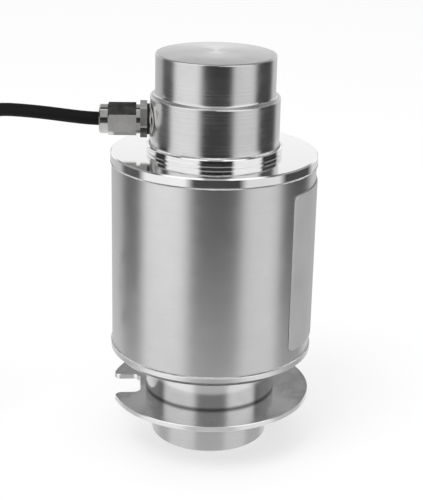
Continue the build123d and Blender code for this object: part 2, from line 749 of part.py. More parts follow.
def gauge_wires():
    """Fine wires from each tab up to its pin on the board."""
    wires = []
    for azimuth, side in gauge_wire_places():
        across = polar(side, azimuth + 90)
        radii = (waist_flat + tab_size[2] + wire_radius, waist_flat + wire_lift, wire_ring)
        wire_end = board_bottom - terminal_drop - wire_radius
        heights = (tab_height, tab_height + wire_rise * (wire_end - tab_height), wire_end)
        points = [polar(r, azimuth, z) + across for r, z in zip(radii, heights)]
        start = points[0] - Vector(0, 0, wire_start)
        path = FilletPolyline(start, *points, radius=wire_bend)
        wires.append(tube_along(path, wire_radius))
    return Compound(children=wires)


def cable_cores():
    """Four cores from the sheath's end through the gland and the slanting passage to their terminals."""
    cores = []
    for index in range(core_count):
        across = (index - (core_count - 1) / 2) * core_pitch
        slope = Vector(passage_foot - passage_top, 0, passage_foot_height - gland_height)
        side = polar(across, gland_azimuth + 90)
        start = polar(cable_start, gland_azimuth, gland_height) + side
        bend = polar(passage_top, gland_azimuth, gland_height) + side
        below_height = gland_height + slope.Z * core_share
        below = polar(passage_top + slope.X * core_share, gland_azimuth, below_height) + side
        pin = core_terminal_place(index)
        end = Vector(pin.X, pin.Y, board_top + terminal_height + core_radius)
        path = FilletPolyline(start, bend, below, end, radius=[core_bend, 2 * core_radius])
        cores.append(tube_along(path, core_radius))
    return Compound(children=cores)


def nameplate():
    """Bare plate bent to the housing, with rounded corners."""
    inner = tube_radius + plate_glue
    outer = inner + plate_thickness
    angle = math.degrees(plate_width / outer)
    ring = Circle(outer) - Circle(inner)
    shell = extrude(Plane.XY.offset(plate_bottom) * ring, plate_height)
    flat = Plane(origin=(0, 0, plate_bottom + plate_height / 2), x_dir=(0, 1, 0), z_dir=(1, 0, 0))
    chord = 2 * outer * math.sin(math.radians(angle / 2))
    outline = fillet(Rectangle(chord, plate_height).vertices(), plate_corner)
    window = extrude(flat * outline, outer + cut_extra)
    return Rot(0, 0, plate_azimuth) * (shell & window)


NODES = {
    "load_column": load_column,
    "upper_cover": upper_cover,
    "lower_cover": lower_cover,
    "housing_tube": housing_tube,
    "nameplate": nameplate,
    "anti_rotation_disc": anti_rotation_disc,
    "retaining_ring": retaining_ring,
    "locking_pin": locking_pin,
    "gland_boss": gland_boss,
    "gland_seal_ring": gland_seal_ring,
    "gland_body": gland_body,
    "gland_grommet": gland_grommet,
    "gland_clamp_washer": gland_clamp_washer,
    "gland_cap_nut": gland_cap_nut,
    "cable": cable,
    "cable_coil": cable_coil,
    "cable_tail": cable_tail,
    "cable_ties": cable_ties,
    "cable_end_sleeve": cable_end_sleeve,
    "bare_core_ends": bare_core_ends,
    "cable_cores": cable_cores,
    "terminal_board": terminal_board,
    "board_standoffs": board_standoffs,
    "board_screws": board_screws,
    "board_terminals": board_terminals,
    "trim_resistors": trim_resistors,
    "strain_gauges": strain_gauges,
    "gauge_tabs": gauge_tabs,
    "gauge_coatings": gauge_coatings,
    "gauge_wires": gauge_wires,
}

os.makedirs("parts", exist_ok=True)
for name, make in NODES.items():
    export_step(make(), f"parts/{name}.step")
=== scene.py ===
import bpy
import math
from mathutils import Matrix, Vector


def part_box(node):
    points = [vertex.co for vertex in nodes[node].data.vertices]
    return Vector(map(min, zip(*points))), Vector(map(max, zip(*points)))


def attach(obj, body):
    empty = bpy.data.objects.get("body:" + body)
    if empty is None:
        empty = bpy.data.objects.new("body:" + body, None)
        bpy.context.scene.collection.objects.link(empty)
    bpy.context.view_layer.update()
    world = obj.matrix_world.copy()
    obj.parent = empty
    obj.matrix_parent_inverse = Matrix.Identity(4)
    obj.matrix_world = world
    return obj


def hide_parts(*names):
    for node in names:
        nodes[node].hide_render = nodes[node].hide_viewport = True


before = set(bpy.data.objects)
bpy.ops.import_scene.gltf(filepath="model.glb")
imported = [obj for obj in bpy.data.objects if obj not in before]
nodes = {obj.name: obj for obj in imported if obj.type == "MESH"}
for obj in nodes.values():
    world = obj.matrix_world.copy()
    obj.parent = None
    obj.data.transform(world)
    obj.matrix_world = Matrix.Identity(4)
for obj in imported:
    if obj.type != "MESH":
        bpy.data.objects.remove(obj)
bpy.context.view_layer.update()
bodyName = "root"
print("frame loaded:", len(nodes), "nodes")

# Places that the finishes and seams start from, in metres like every place below.
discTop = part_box("anti_rotation_disc")[1][2]
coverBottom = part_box("lower_cover")[0][2]
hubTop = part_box("upper_cover")[1][2]
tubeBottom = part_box("housing_tube")[0][2]
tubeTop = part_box("housing_tube")[1][2]
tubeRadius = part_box("housing_tube")[1][0]


# Camera, solved from the circles of the covers, the disc and the head. Angles are in degrees,
# the sensor and the lens in millimetres.
cameraSetup = {
    "place": (0.0, -0.45626, 0.23704),
    "pitch": 19.6236,
    "yaw": -0.0319,
    "roll": 1.2347,
    "sensorHeight": 24.0,
    "lens": 61.83,
    "nearLimit": 0.01,
}


def makeCamera(setup):
    pitch, yaw, roll = (math.radians(setup[key]) for key in ("pitch", "yaw", "roll"))
    forward = Vector((math.sin(yaw) * math.cos(pitch), math.cos(yaw) * math.cos(pitch), -math.sin(pitch)))
    right = Vector((math.cos(yaw), -math.sin(yaw), 0.0))
    up = right.cross(forward)
    rolledRight = right * math.cos(roll) + up * math.sin(roll)
    rolledUp = up * math.cos(roll) - right * math.sin(roll)
    data = bpy.data.cameras.new("camera")
    data.sensor_fit = "VERTICAL"
    data.sensor_height = setup["sensorHeight"]
    data.lens = setup["lens"]
    data.clip_start = setup["nearLimit"]
    camera = bpy.data.objects.new("camera", data)
    turn = Matrix((rolledRight, rolledUp, -forward)).transposed()
    camera.matrix_world = Matrix.Translation(setup["place"]) @ turn.to_4x4()
    bpy.context.scene.collection.objects.link(camera)
    bpy.context.scene.camera = camera


makeCamera(cameraSetup)
bpy.context.scene.view_settings.view_transform = "Standard"
print("camera placed")


def toLinear(hexText):
    # sRGB hex to the linear colour that shaders take
    channels = [int(hexText[i:i + 2], 16) / 255 for i in (0, 2, 4)]
    return [c / 12.92 if c <= 0.04045 else ((c + 0.055) / 1.055) ** 2.4 for c in channels] + [1.0]


def addNode(tree, kind, settings=None, links=None):
    # settings: attributes by name, inputs by index or by name; links: input -> (node, output)
    node = tree.nodes.new(kind)
    for key, value in (settings or {}).items():
        if isinstance(key, str) and hasattr(node, key):
            setattr(node, key, value)
        else:
            node.inputs[key].default_value = value
    for key, (source, output) in (links or {}).items():
        tree.links.new(source.outputs[output], node.inputs[key])
    return node


def product(tree, first, second):
    return addNode(tree, "ShaderNodeMath", {"operation": "MULTIPLY"}, {0: first, 1: second})


def mixColours(tree, share, first, second):
    # each of the two is a hex colour, or the (node, output) that gives one; the result is output 2
    node = addNode(tree, "ShaderNodeMix", {"data_type": "RGBA"}, {0: share})
    for index, colour in ((6, first), (7, second)):
        if isinstance(colour, str):
            node.inputs[index].default_value = toLinear(colour)
        else:
            tree.links.new(colour[0].outputs[colour[1]], node.inputs[index])
    return node


def fillRamp(ramp, stops):
    elements = ramp.color_ramp.elements
    elements[0].position = stops[0][0]
    elements[1].position = stops[-1][0]
    for place, colour in stops[1:-1]:
        elements.new(place)
    for element, (place, colour) in zip(elements, stops):
        element.color = toLinear(colour)
    return ramp


# Surroundings. Turned metal shows them as upright bands: bright walls, with dark gaps to the left,
# behind the camera and to the right. Places go round from behind the object at 0, by the left at
# 0.25 and the camera at 0.5, to the right at 0.75. A range says how far a direction points up or,
# in the last three, away from the camera, as a share of its length.
studio = {
    "bands": [
        (0.000, "D2D2D2"), (0.152, "C6C6C6"), (0.182, "646464"), (0.250, "545454"), (0.278, "FBFBFB"),
        (0.412, "FFFFFF"), (0.440, "444444"), (0.578, "3E3E3E"), (0.602, "E6E6E6"), (0.712, "EAEAEA"),
        (0.738, "484848"), (0.850, "4E4E4E"), (0.885, "DADADA"), (1.000, "D2D2D2"),
    ],
    "highBands": [
        (0.000, "FFFFFF"), (0.165, "FFFFFF"), (0.186, "262626"), (0.246, "202020"), (0.264, "FFFFFF"),
        (0.425, "FFFFFF"), (0.442, "262626"), (0.582, "222222"), (0.598, "FFFFFF"), (0.735, "FFFFFF"),
        (0.752, "2A2A2A"), (0.850, "2A2A2A"), (0.880, "FFFFFF"), (1.000, "FFFFFF"),
    ],
    "strength": 1.12,
    "highStrength": 1.3,         # high up on the camera's side
    "highRange": (-0.05, 0.15),  # where the low bands give way to the high ones
    "table": "DFDFDF",           # what the metal sees far below it
    "tableRange": (-0.27, -0.52),
    "tableShare": 0.82,
    "haze": "FFFFFF",            # softens the bands higher up on the camera's side
    "hazeRange": (0.32, 0.45),
    "hazeShare": 0.34,
    "upperWall": "A0A0A0",       # behind the object
    "upperWallRange": (0.25, 0.40),
    "ceiling": "2C2C2C",         # a dark patch high up, just behind the object
    "ceilingRange": (0.925, 0.950),
    "behindRange": (0.0, 0.2),
    "justBehindRange": (0.025, 0.055),
    "frontRange": (0.1, -0.1),
    "fill": 0.74,                # strength for plain, rough surfaces
    "lampPower": 3.2,
    "lampPlace": (-0.35, -0.45, 0.95),
    "lampSize": 0.55,
    "floorColour": "DCDCDC",     # as it lights the object
    "floorSeen": "BBBBBB",       # as the camera sees it, with the lift that keeps its shadow light
    "floorLift": 0.58,
    "floorReach": 4.0,
}


def makeSurroundings(values):
    world = bpy.data.worlds.new("studio")
    bpy.context.scene.world = world
    world.use_nodes = True
    tree = world.node_tree
    tree.nodes.clear()
    place = addNode(tree, "ShaderNodeTexCoord")
    axes = addNode(tree, "ShaderNodeSeparateXYZ", links={0: (place, "Generated")})
    ahead = addNode(tree, "ShaderNodeMath", {"operation": "MULTIPLY", 1: -1.0}, {0: (axes, 1)})
    angle = addNode(tree, "ShaderNodeMath", {"operation": "ARCTAN2"}, {0: (axes, 0), 1: (ahead, 0)})
    share = addNode(tree, "ShaderNodeMapRange", {"From Min": -math.pi, "From Max": math.pi},
                    {0: (angle, 0)})
    bands = fillRamp(addNode(tree, "ShaderNodeValToRGB", links={0: (share, 0)}), values["bands"])
    highBands = fillRamp(addNode(tree, "ShaderNodeValToRGB", links={0: (share, 0)}), values["highBands"])

    away, upward = 1, 2

    def rise(axis, limits, most=1.0):
        return addNode(tree, "ShaderNodeMapRange", {
            "interpolation_type": "SMOOTHSTEP", "From Min": limits[0], "From Max": limits[1],
            "To Max": most}, {0: (axes, axis)})

    high = rise(upward, values["highRange"])
    low = rise(upward, values["tableRange"], values["tableShare"])
    haze = rise(upward, values["hazeRange"], values["hazeShare"])
    upper = rise(upward, values["upperWallRange"])
    top = rise(upward, values["ceilingRange"])
    behind = rise(away, values["behindRange"])
    justBehind = rise(away, values["justBehindRange"])
    front = rise(away, values["frontRange"])
    hazy = product(tree, (haze, 0), (front, 0))
    wallShare = product(tree, (upper, 0), (behind, 0))
    ceilingShare = product(tree, (top, 0), (justBehind, 0))
    seenColour = mixColours(tree, (high, 0), (bands, 0), (highBands, 0))
    seenColour = mixColours(tree, (hazy, 0), (seenColour, 2), values["haze"])
    seenColour = mixColours(tree, (low, 0), (seenColour, 2), values["table"])
    seenColour = mixColours(tree, (wallShare, 0), (seenColour, 2), values["upperWall"])
    seenColour = mixColours(tree, (ceilingShare, 0), (seenColour, 2), values["ceiling"])
    strength = addNode(tree, "ShaderNodeMapRange", {
        "To Min": values["strength"], "To Max": values["highStrength"]},
        {0: (product(tree, (high, 0), (front, 0)), 0)})
    mirrored = addNode(tree, "ShaderNodeBackground", links={0: (seenColour, 2), 1: (strength, 0)})
    plain = addNode(tree, "ShaderNodeBackground", {0: toLinear("FFFFFF"), "Strength": values["fill"]})
    white = addNode(tree, "ShaderNodeBackground", {0: toLinear("FFFFFF"), "Strength": 1.0})
    path = addNode(tree, "ShaderNodeLightPath")
    forMetal = addNode(tree, "ShaderNodeMixShader", links={
        0: (path, "Is Glossy Ray"), 1: (plain, 0), 2: (mirrored, 0)})
    forCamera = addNode(tree, "ShaderNodeMixShader", links={
        0: (path, "Is Camera Ray"), 1: (forMetal, 0), 2: (white, 0)})
    addNode(tree, "ShaderNodeOutputWorld", links={0: (forCamera, 0)})


def makeLamp(values):
    lampData = bpy.data.lights.new("soft_lamp", "AREA")
    lampData.energy = values["lampPower"]
    lampData.size = values["lampSize"]
    lamp = bpy.data.objects.new("soft_lamp", lampData)
    lamp.location = values["lampPlace"]
    lamp.rotation_euler = (-Vector(values["lampPlace"])).to_track_quat("-Z", "Y").to_euler()
    lamp.visible_glossy = False
    bpy.context.scene.collection.objects.link(lamp)


def makeFloor(values):
    # The floor takes the shadow. Metal sees the studio through it, as on a glass table.
    material = bpy.data.materials.new("pale_floor")
    material.use_nodes = True
    tree = material.node_tree
    tree.nodes.clear()
    matt = addNode(tree, "ShaderNodeBsdfDiffuse", {0: toLinear(values["floorColour"])})
    lift = addNode(tree, "ShaderNodeEmission", {0: toLinear("FFFFFF"), "Strength": values["floorLift"]})
    pale = addNode(tree, "ShaderNodeBsdfDiffuse", {0: toLinear(values["floorSeen"])})
    lit = addNode(tree, "ShaderNodeAddShader", links={0: (pale, 0), 1: (lift, 0)})
    clear = addNode(tree, "ShaderNodeBsdfTransparent")
    path = addNode(tree, "ShaderNodeLightPath")
    seen = addNode(tree, "ShaderNodeMixShader", links={
        0: (path, "Is Camera Ray"), 1: (matt, 0), 2: (lit, 0)})
    through = addNode(tree, "ShaderNodeMixShader", links={
        0: (path, "Is Glossy Ray"), 1: (seen, 0), 2: (clear, 0)})
    addNode(tree, "ShaderNodeOutputMaterial", links={0: (through, 0)})
    mesh = bpy.data.meshes.new("floor")
    reach = values["floorReach"]
    corners = [(-reach, -reach, 0), (reach, -reach, 0), (reach, reach, 0), (-reach, reach, 0)]
    mesh.from_pydata(corners, [], [(0, 1, 2, 3)])
    floor = bpy.data.objects.new("floor", mesh)
    mesh.materials.append(material)
    bpy.context.scene.collection.objects.link(floor)


makeSurroundings(studio)
makeLamp(studio)
makeFloor(studio)
print("studio ready")


endFacing = (0.90, 0.97)    # how far upward or downward a face looks before it counts as an end
grainSpread = 0.15          # share by which a grained surface's roughness varies


def newMaterial(name):
    material = bpy.data.materials.new(name)
    material.use_nodes = True
    tree = material.node_tree
    tree.nodes.clear()
    shader = addNode(tree, "ShaderNodeBsdfPrincipled")
    addNode(tree, "ShaderNodeOutputMaterial", links={0: (shader, 0)})
    place = addNode(tree, "ShaderNodeTexCoord")
    return material, tree, shader, place


def spreadNoise(tree, noise, low=0.0, high=1.0):
    # noise lies mostly between 0.3 and 0.7
    return addNode(tree, "ShaderNodeMapRange", {
        "From Min": 0.3, "From Max": 0.7, "To Min": low, "To Max": high}, {0: (noise, 0)})


def finishShader(tree, shader, colour, rough, bump):
    for key, source in (("Base Color", (colour, 2)), ("Roughness", (rough, 0)), ("Normal", (bump, 0))):
        tree.links.new(source[0].outputs[source[1]], shader.inputs[key])


def groundBand(tree, axes, colour, rough, values):
    # A stretch of the bar that is ground and polished, with painted shade that darkens it softly into its
    # lower corner, just above the disc.
    bottom, top = values["groundBand"]
    above = addNode(tree, "ShaderNodeMath", {"operation": "GREATER_THAN", 1: bottom}, {0: (axes, 2)})
    below = addNode(tree, "ShaderNodeMath", {"operation": "LESS_THAN", 1: top}, {0: (axes, 2)})
    inBand = product(tree, (above, 0), (below, 0))
    # Painted shade: the colour darkens towards the band's bottom, in the corner where the neck meets the
    # disc.
    cornerShadeRamp = addNode(tree, "ShaderNodeMapRange", {
        "interpolation_type": "SMOOTHSTEP", "From Min": bottom, "From Max": bottom + values["cornerShadeHeight"],
        "To Min": 1.0, "To Max": 0.0}, {0: (axes, 2)})
    corner = product(tree, (inBand, 0), (cornerShadeRamp, 0))
    rough = addNode(tree, "ShaderNodeMix", {"data_type": "FLOAT", 3: values["groundRoughness"]},
                    {0: (inBand, 0), 2: (rough, 0)})
    colour = mixColours(tree, (inBand, 0), (colour, 2), values["groundColour"])
    colour = mixColours(tree, (corner, 0), (colour, 2), values["paintedCornerShade"])
    return colour, rough


def roundedSteel(name, values):
    # Metal turned or brushed round the part's own axis: fine lines follow the tool round, in step
    # with height on the walls and with radius on the flat ends; handling leaves soft dull patches.
    material, tree, shader, place = newMaterial(name)
    axes = addNode(tree, "ShaderNodeSeparateXYZ", links={0: (place, "Object")})
    flat = addNode(tree, "ShaderNodeCombineXYZ", links={0: (axes, 0), 1: (axes, 1)})
    radius = addNode(tree, "ShaderNodeVectorMath", {"operation": "LENGTH"}, {0: (flat, 0)})
    along = addNode(tree, "ShaderNodeMath", {"operation": "ADD"}, {0: (axes, 2), 1: (radius, 1)})
    lines = addNode(tree, "ShaderNodeTexNoise", {
        "noise_dimensions": "1D", "Scale": 1000 / values["lineWidth"], "Detail": 3.0, "Roughness": 0.6},
        {"W": (along, 0)})
    patches = addNode(tree, "ShaderNodeTexNoise", {
        "Scale": 1000 / values["patchWidth"], "Detail": 4.0, "Roughness": 0.62},
        {"Vector": (place, "Object")})
    both = addNode(tree, "ShaderNodeMix", {"data_type": "FLOAT", 0: values["patchShare"]},
                   {2: (lines, 0), 3: (patches, 0)})
    rough = spreadNoise(tree, both, values["roughness"] * (1 - values["spread"]),
                        values["roughness"] * (1 + values["spread"]))
    tone = spreadNoise(tree, both)
    colour = mixColours(tree, (tone, 0), values["dark"], values["light"])
    bump = addNode(tree, "ShaderNodeBump", {
        "Strength": values["bump"], "Distance": 0.001 * values["lineDepth"]}, {"Height": (lines, 0)})

    surface = addNode(tree, "ShaderNodeNewGeometry")
    facing = addNode(tree, "ShaderNodeSeparateXYZ", links={0: (surface, "Normal")})
    upright = addNode(tree, "ShaderNodeMath", {"operation": "ABSOLUTE"}, {0: (facing, 2)})
    ends = addNode(tree, "ShaderNodeMapRange", {"From Min": endFacing[0], "From Max": endFacing[1]},
                   {0: (upright, 0)})
    if "faceRoughness" in values:
        # faced ends are duller than the walls
        rough = addNode(tree, "ShaderNodeMix", {"data_type": "FLOAT", 3: values["faceRoughness"]},
                        {0: (ends, 0), 2: (rough, 0)})
    if "paintedEdgeHighlight" in values:
        # walls, such as the cut edges, get a brighter colour: a painted highlight
        colour = mixColours(tree, (ends, 0), values["paintedEdgeHighlight"], (colour, 2))
    if "groundBand" in values:
        colour, rough = groundBand(tree, axes, colour, rough, values)
    finishShader(tree, shader, colour, rough, bump)
    shader.inputs["Metallic"].default_value = 1.0
    shader.inputs["Anisotropic"].default_value = values["stretch"]
    return material


def grainedSurface(name, values):
    # Cast, moulded, rolled or sprayed surfaces: an even grain with soft changes of tone.
    material, tree, shader, place = newMaterial(name)
    grain = addNode(tree, "ShaderNodeTexNoise", {"Scale": 1000 / values["grainWidth"], "Detail": 3.0},
                    {"Vector": (place, "Object")})
    patches = addNode(tree, "ShaderNodeTexNoise", {"Scale": 1000 / values["patchWidth"], "Detail": 3.0},
                      {"Vector": (place, "Object")})
    tone = spreadNoise(tree, patches)
    colour = mixColours(tree, (tone, 0), values["dark"], values["light"])
    rough = spreadNoise(tree, patches, values["roughness"] * (1 - grainSpread),
                        values["roughness"] * (1 + grainSpread))
    bump = addNode(tree, "ShaderNodeBump", {
        "Strength": values["bump"], "Distance": 0.001 * values["grainDepth"]}, {"Height": (grain, 0)})
    finishShader(tree, shader, colour, rough, bump)
    shader.inputs["Metallic"].default_value = values.get("metallic", 0.0)
    if "ior" in values:
        shader.inputs["IOR"].default_value = values["ior"]
    return material


# Widths and depths of lines, patches and grain are in millimetres. Lines are drawn a few times
# coarser than real ones, so that they show at this size.
steelFinishes = {
    # 17-4 stainless bar, fine turned: crisp bands with faint rings, and a ground neck with painted shade in
    # its lower corner
    "turned_steel": {
        "dark": "C5C5C5", "light": "D5D5D5", "roughness": 0.19, "spread": 0.25, "lineWidth": 0.55,
        "patchWidth": 9.0, "patchShare": 0.6, "bump": 0.06, "lineDepth": 0.02, "stretch": 0.55,
        "faceRoughness": 0.26, "groundBand": (discTop, coverBottom + 0.001), "groundRoughness": 0.17,
        "groundColour": "E8E8E8", "cornerShadeHeight": 0.0016, "paintedCornerShade": "7C7C7C"},
    # upper cover, turned and polished: nearly a mirror
    "polished_steel": {
        "dark": "DFDFDF", "light": "E8E8E8", "roughness": 0.09, "spread": 0.35, "lineWidth": 0.7,
        "patchWidth": 7.0, "patchShare": 0.5, "bump": 0.05, "lineDepth": 0.012, "stretch": 0.3},
    # lower cover, blasted with fine glass: pale satin
    "satin_steel": {
        "dark": "E6E6E6", "light": "EFEFEF", "roughness": 0.34, "spread": 0.2, "lineWidth": 0.7,
        "patchWidth": 7.0, "patchShare": 0.8, "bump": 0.05, "lineDepth": 0.012, "stretch": 0.0},
    # stainless tube, brushed round with a fine belt: soft bands
    "brushed_steel": {
        "dark": "CECECE", "light": "D8D8D8", "roughness": 0.23, "spread": 0.07, "lineWidth": 0.6,
        "patchWidth": 12.0, "patchShare": 0.7, "bump": 0.07, "lineDepth": 0.03, "stretch": 0.6},
    # stainless sheet, punched and rolled: greyer, with a painted highlight on its cut edges
    "sheet_steel": {
        "dark": "B0B0B0", "light": "C2C2C2", "roughness": 0.17, "spread": 0.35, "lineWidth": 0.8,
        "patchWidth": 6.0, "patchShare": 0.7, "bump": 0.06, "lineDepth": 0.03, "stretch": 0.2,
        "paintedEdgeHighlight": "ECECEC"},
}

grainFinishes = {
    # phosphated spring steel: near black, dry
    "spring_steel": {
        "dark": "37373A", "light": "4A4A4D", "roughness": 0.48, "metallic": 1.0, "grainWidth": 0.3,
        "patchWidth": 4.0, "bump": 0.25, "grainDepth": 0.02},
    # anodised aluminium sheet: even, satin, pale
    "plate_foil": {
        "dark": "C9C9C9", "light": "D1D1D1", "roughness": 0.5, "metallic": 0.3, "ior": 1.5,
        "grainWidth": 0.35, "patchWidth": 18.0, "bump": 0.12, "grainDepth": 0.01},
    # nickel plated brass: bright, slightly warm
    "nickel_brass": {
        "dark": "CECDCB", "light": "DDDCDA", "roughness": 0.13, "metallic": 1.0, "grainWidth": 0.8,
        "patchWidth": 3.0, "bump": 0.08, "grainDepth": 0.02},
    # nitrile rubber: dull black
    "seal_rubber": {
        "dark": "161616", "light": "222222", "roughness": 0.62, "ior": 1.52, "grainWidth": 0.3,
        "patchWidth": 3.0, "bump": 0.3, "grainDepth": 0.02},
    # polyurethane sheath, extruded: black, with the shine held low by a small index
    "cable_sheath": {
        "dark": "09090A", "light": "101011", "roughness": 0.58, "ior": 1.28, "grainWidth": 0.5,
        "patchWidth": 9.0, "bump": 0.18, "grainDepth": 0.03},
    # polyamide ties, moulded
    "black_nylon": {
        "dark": "1E1E1F", "light": "2A2A2B", "roughness": 0.45, "ior": 1.53, "grainWidth": 0.4,
        "patchWidth": 4.0, "bump": 0.2, "grainDepth": 0.02},
    # polyolefin sleeve, shrunk on: satin
    "shrink_sleeve": {
        "dark": "202021", "light": "2D2D2E", "roughness": 0.5, "ior": 1.49, "grainWidth": 0.6,
        "patchWidth": 3.0, "bump": 0.3, "grainDepth": 0.04},
    # natural polyamide washer
    "washer_nylon": {
        "dark": "CFCBBE", "light": "DDD9CC", "roughness": 0.45, "ior": 1.53, "grainWidth": 0.4,
        "patchWidth": 2.0, "bump": 0.15, "grainDepth": 0.02},
    # glass fibre board under green solder mask
    "circuit_board": {
        "dark": "15482A", "light": "1D5A36", "roughness": 0.32, "ior": 1.5, "grainWidth": 0.7,
        "patchWidth": 5.0, "bump": 0.2, "grainDepth": 0.02},
    # bright drawn brass
    "brass": {
        "dark": "C79A4C", "light": "DDB465", "roughness": 0.24, "metallic": 1.0, "grainWidth": 0.4,
        "patchWidth": 2.0, "bump": 0.15, "grainDepth": 0.02},
    # tin plated steel and copper
    "tinned_metal": {
        "dark": "B9B9B8", "light": "CECECD", "roughness": 0.3, "metallic": 1.0, "grainWidth": 0.3,
        "patchWidth": 1.5, "bump": 0.2, "grainDepth": 0.02},
    # epoxy moulded resistors
    "resistor_body": {
        "dark": "17171A", "light": "232327", "roughness": 0.4, "ior": 1.55, "grainWidth": 0.2,
        "patchWidth": 1.5, "bump": 0.2, "grainDepth": 0.01},
    # silicone coat, brushed on
    "silicone": {
        "dark": "8C8B86", "light": "A3A29C", "roughness": 0.55, "ior": 1.41, "grainWidth": 1.2,
        "patchWidth": 4.0, "bump": 0.5, "grainDepth": 0.08},
    # enamelled copper wire: red-brown, shiny
    "enamel_wire": {
        "dark": "7A3A1C", "light": "934A26", "roughness": 0.25, "ior": 1.6, "grainWidth": 0.3,
        "patchWidth": 2.0, "bump": 0.1, "grainDepth": 0.01},
    # weld, brushed after it set: bright ripples
    "weld_bead": {
        "dark": "CFCFCE", "light": "E8E8E7", "roughness": 0.24, "metallic": 1.0, "grainWidth": 0.5,
        "patchWidth": 2.5, "bump": 0.3, "grainDepth": 0.03},
}


def coreColours(name, values):
    # Insulated cores, one colour each: told apart by their place across the row, which may fan out.
    material, tree, shader, place = newMaterial(name)
    count = len(values["colours"])
    local = addNode(tree, "ShaderNodeMapping", {
        "vector_type": "TEXTURE", "Location": (*values["centre"], 0.0),
        "Rotation": (0.0, 0.0, math.radians(values["along"]))}, {0: (place, "Object")})
    axes = addNode(tree, "ShaderNodeSeparateXYZ", links={0: (local, 0)})
    pitch = addNode(tree, "ShaderNodeMapRange", {
        "From Min": values["fanStart"], "From Max": values["fanEnd"], "To Min": values["pitch"],
        "To Max": values["fanPitch"]}, {0: (axes, 0)})
    row = addNode(tree, "ShaderNodeMath", {"operation": "DIVIDE"}, {0: (axes, 1), 1: (pitch, 0)})
    share = addNode(tree, "ShaderNodeMapRange", {"From Min": -count / 2, "From Max": count / 2},
                    {0: (row, 0)})
    ramp = addNode(tree, "ShaderNodeValToRGB", links={0: (share, 0)})
    ramp.color_ramp.interpolation = "CONSTANT"
    fillRamp(ramp, [(index / count, colour) for index, colour in enumerate(values["colours"])])
    grain = addNode(tree, "ShaderNodeTexNoise", {"Scale": 1000 / values["grainWidth"]},
                    {"Vector": (place, "Object")})
    bump = addNode(tree, "ShaderNodeBump", {
        "Strength": values["bump"], "Distance": 0.001 * values["grainDepth"]}, {"Height": (grain, 0)})
    tree.links.new(ramp.outputs[0], shader.inputs["Base Color"])
    tree.links.new(bump.outputs[0], shader.inputs["Normal"])
    shader.inputs["Roughness"].default_value = values["roughness"]
    return material


# PVC insulation: clear colours, half gloss. A row of cores starts at its centre and runs at an
# angle: the bare ends over the coil's front, the others through the gland.
coreInsulation = {"pitch": 0.0009, "roughness": 0.35, "grainWidth": 1 / 3, "bump": 0.15, "grainDepth": 0.01,
                  "colours": ["B3261E", "1D1D1F", "E4E2DC", "2C6B3A"]}
coreFinishes = {
    "bare_cores": {**coreInsulation, "centre": (-0.176, -0.0243), "along": 180.0, "fanStart": 0.010,
                   "fanEnd": 0.023, "fanPitch": 0.0028},
    "gland_cores": {**coreInsulation, "centre": (0.0, 0.0), "along": 183.0, "fanStart": 0.0242,
                    "fanEnd": 0.0275, "fanPitch": 0.0032},
}


def gaugeFoil(values):
    # Amber film with a grid of metal foil lines, seen through the clear top film.
    material, tree, shader, place = newMaterial("gauge_foil")
    turned = addNode(tree, "ShaderNodeMapping", {"Rotation": (0.0, 0.0, -math.radians(values["across"]))},
                     {0: (place, "Object")})
    grid = addNode(tree, "ShaderNodeTexWave", {
        "wave_type": "BANDS", "bands_direction": "Y", "Scale": values["scale"]}, {0: (turned, 0)})
    lines = fillRamp(addNode(tree, "ShaderNodeValToRGB", links={0: (grid, 1)}), values["lines"])
    tree.links.new(lines.outputs[0], shader.inputs["Base Color"])
    shader.inputs["Roughness"].default_value = values["roughness"]
    shader.inputs["Coat Weight"].default_value = values["coat"]
    return material


gaugeFinish = {"across": 93.0, "scale": 420.0, "lines": [(0.45, "B5722A"), (0.60, "9C9A94")],
               "roughness": 0.28, "coat": 0.4}

materials = {name: roundedSteel(name, values) for name, values in steelFinishes.items()}
materials.update({name: grainedSurface(name, values) for name, values in grainFinishes.items()})
materials.update({name: coreColours(name, values) for name, values in coreFinishes.items()})
materials["gauge_foil"] = gaugeFoil(gaugeFinish)
print("materials made:", len(materials))

finishOfNode = {
    "load_column": "turned_steel", "upper_cover": "polished_steel", "lower_cover": "satin_steel",
    "housing_tube": "brushed_steel", "nameplate": "plate_foil", "anti_rotation_disc": "sheet_steel",
    "retaining_ring": "spring_steel", "locking_pin": "turned_steel", "gland_boss": "turned_steel",
    "gland_seal_ring": "seal_rubber", "gland_body": "nickel_brass", "gland_grommet": "seal_rubber",
    "gland_clamp_washer": "washer_nylon", "gland_cap_nut": "nickel_brass", "cable_ties": "black_nylon",
    "cable_end_sleeve": "shrink_sleeve", "bare_core_ends": "bare_cores", "cable_cores": "gland_cores",
    "terminal_board": "circuit_board", "board_standoffs": "brass", "board_screws": "tinned_metal",
    "board_terminals": "tinned_metal", "trim_resistors": "resistor_body", "strain_gauges": "gauge_foil",
    "gauge_tabs": "brass", "gauge_coatings": "silicone", "gauge_wires": "enamel_wire",
}

for nodeName, finish in finishOfNode.items():
    slots = nodes[nodeName].data.materials
    slots.clear()
    slots.append(materials[finish])
print("finishes given to", len(finishOfNode), "nodes")


# The hub's lower half is slightly crowned, above the cover's flat.
hubCrown = {
    "radius": 0.02480,
    "bottom": hubTop - 0.00288,
    "top": hubTop - 0.00138,
    "bulge": 0.00005,
    "root": 0.00003,            # how deep its two edges sit in the hub
    "steps": 10,
    "sides": 240,
}


